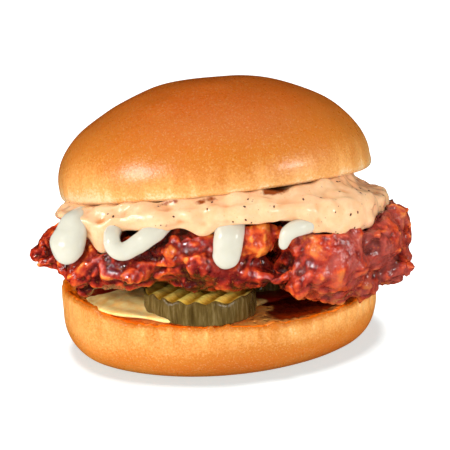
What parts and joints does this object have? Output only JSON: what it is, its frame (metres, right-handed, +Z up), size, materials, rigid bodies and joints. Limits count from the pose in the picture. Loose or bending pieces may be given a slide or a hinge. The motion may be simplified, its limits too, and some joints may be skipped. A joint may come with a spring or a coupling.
{
  "type": "fried chicken sandwich",
  "caption": "Hot glazed fried chicken on a brioche bun, with crinkle-cut pickle chips, cream spread, spiced sauce and hanging runs of white sauce.",
  "frame": {"origin": "on the floor, under the middle of the whole sandwich", "axes": "+Z up, +X to the right of the side shown, -Y towards the viewer of that side"},
  "size_m": [0.1282, 0.1064, 0.0888],
  "materials": {
    "bun_heel": "soft baked crust with a toasted cut face",
    "bun_crown": "egg-washed crust, satin to glossy, paler at the skirt",
    "cream_spread": "smooth thick cream",
    "pickle": "wet, with a dark rind and paler ridged faces",
    "glazed_chicken": "craggy fried crust under a sticky red glaze",
    "white_sauce": "thick, smooth and glossy",
    "spiced_sauce": "thick and glossy, with dark pepper flecks"
  },
  "bodies": {
    "root": {"bun_heel": "bun_heel", "heel_spread": "cream_spread", "pickle_front": "pickle", "pickle_left": "pickle", "pickle_right": "pickle", "chicken_left": "glazed_chicken", "chicken_right": "glazed_chicken", "white_sauce_left": "white_sauce", "white_sauce_front_left": "white_sauce", "white_sauce_front": "white_sauce", "white_sauce_front_right": "white_sauce", "white_sauce_back_right": "white_sauce", "white_sauce_back": "white_sauce", "white_sauce_back_left": "white_sauce", "spiced_sauce": "spiced_sauce", "bun_crown": "bun_crown"}
  },
  "joints": []
}
